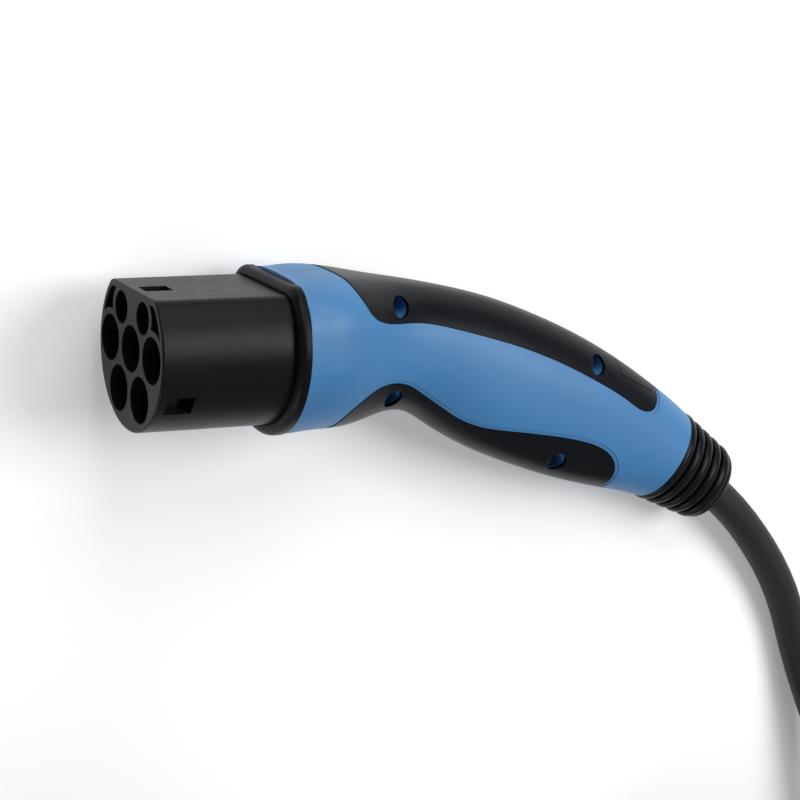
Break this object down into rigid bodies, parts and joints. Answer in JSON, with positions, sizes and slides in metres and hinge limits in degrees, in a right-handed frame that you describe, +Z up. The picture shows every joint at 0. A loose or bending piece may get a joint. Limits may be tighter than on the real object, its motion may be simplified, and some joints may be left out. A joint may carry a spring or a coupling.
{
  "type": "ev charging cable",
  "caption": "Electric car charging cable: curved hand-held connector with rubber grips, ribbed boot, tied coil and plug.",
  "frame": {"origin": "floor level, under the middle of the connector's box as it lies on its side; the free cable, its coil and the far plug are left out of that box", "axes": "+Z up from the floor, +X along the connector from its nose towards the cable, +Y the side of the flat of its nose"},
  "size_m": [0.4146, 0.3953, 0.0678],
  "materials": {
    "nose_plastic": "fine moulded texture, near black",
    "inner_plastic": "plain moulded",
    "shell_plastic": "mid blue, satin",
    "grip_rubber": "black soft-touch",
    "boot_rubber": "black, slightly glossy",
    "cable_jacket": "dark grey, matte",
    "contact_metal": "silver-plated",
    "screw_steel": "zinc-plated",
    "tie_fabric": "woven hook-and-loop strap",
    "core_brown": "insulation",
    "core_black": "insulation",
    "core_grey": "insulation",
    "core_blue": "insulation",
    "core_green": "green insulation of the earth core",
    "core_white": "insulation"
  },
  "bodies": {
    "root": {"boot": "boot_rubber", "cable_clamp_lower": "inner_plastic", "cable_clamp_screws": "screw_steel", "cable_clamp_upper": "inner_plastic", "cable_coil": "cable_jacket", "cable_lead": "cable_jacket", "cable_sheath_end": "cable_jacket", "cable_tail": "cable_jacket", "coding_resistor": "inner_plastic", "coil_ties": "tie_fabric", "contact_earth": "contact_metal", "contact_line_1": "contact_metal", "contact_line_2": "contact_metal", "contact_line_3": "contact_metal", "contact_neutral": "contact_metal", "contact_pilot": "contact_metal", "contact_proximity": "contact_metal", "contact_retainer": "inner_plastic", "core_earth": "core_green", "core_line_1": "core_brown", "core_line_2": "core_black", "core_line_3": "core_grey", "core_neutral": "core_blue", "core_pilot": "core_white", "front_collar": "nose_plastic", "grip_bottom_left": "grip_rubber", "grip_bottom_right": "grip_rubber", "grip_inlay": "grip_rubber", "grip_top_left": "grip_rubber", "grip_top_right": "grip_rubber", "nose_housing": "nose_plastic", "plug_boot": "boot_rubber", "plug_grip_bottom_left": "grip_rubber", "plug_grip_bottom_right": "grip_rubber", "plug_grip_inlay": "grip_rubber", "plug_grip_top_left": "grip_rubber", "plug_grip_top_right": "grip_rubber", "plug_power_pins": "contact_metal", "plug_sheath_end": "cable_jacket", "plug_shell_left": "shell_plastic", "plug_shell_right": "shell_plastic", "plug_shroud": "nose_plastic", "plug_signal_pins": "contact_metal", "retainer_screws": "screw_steel", "shell_left": "shell_plastic", "shell_right": "shell_plastic", "shell_screws": "screw_steel"}
  },
  "joints": []
}
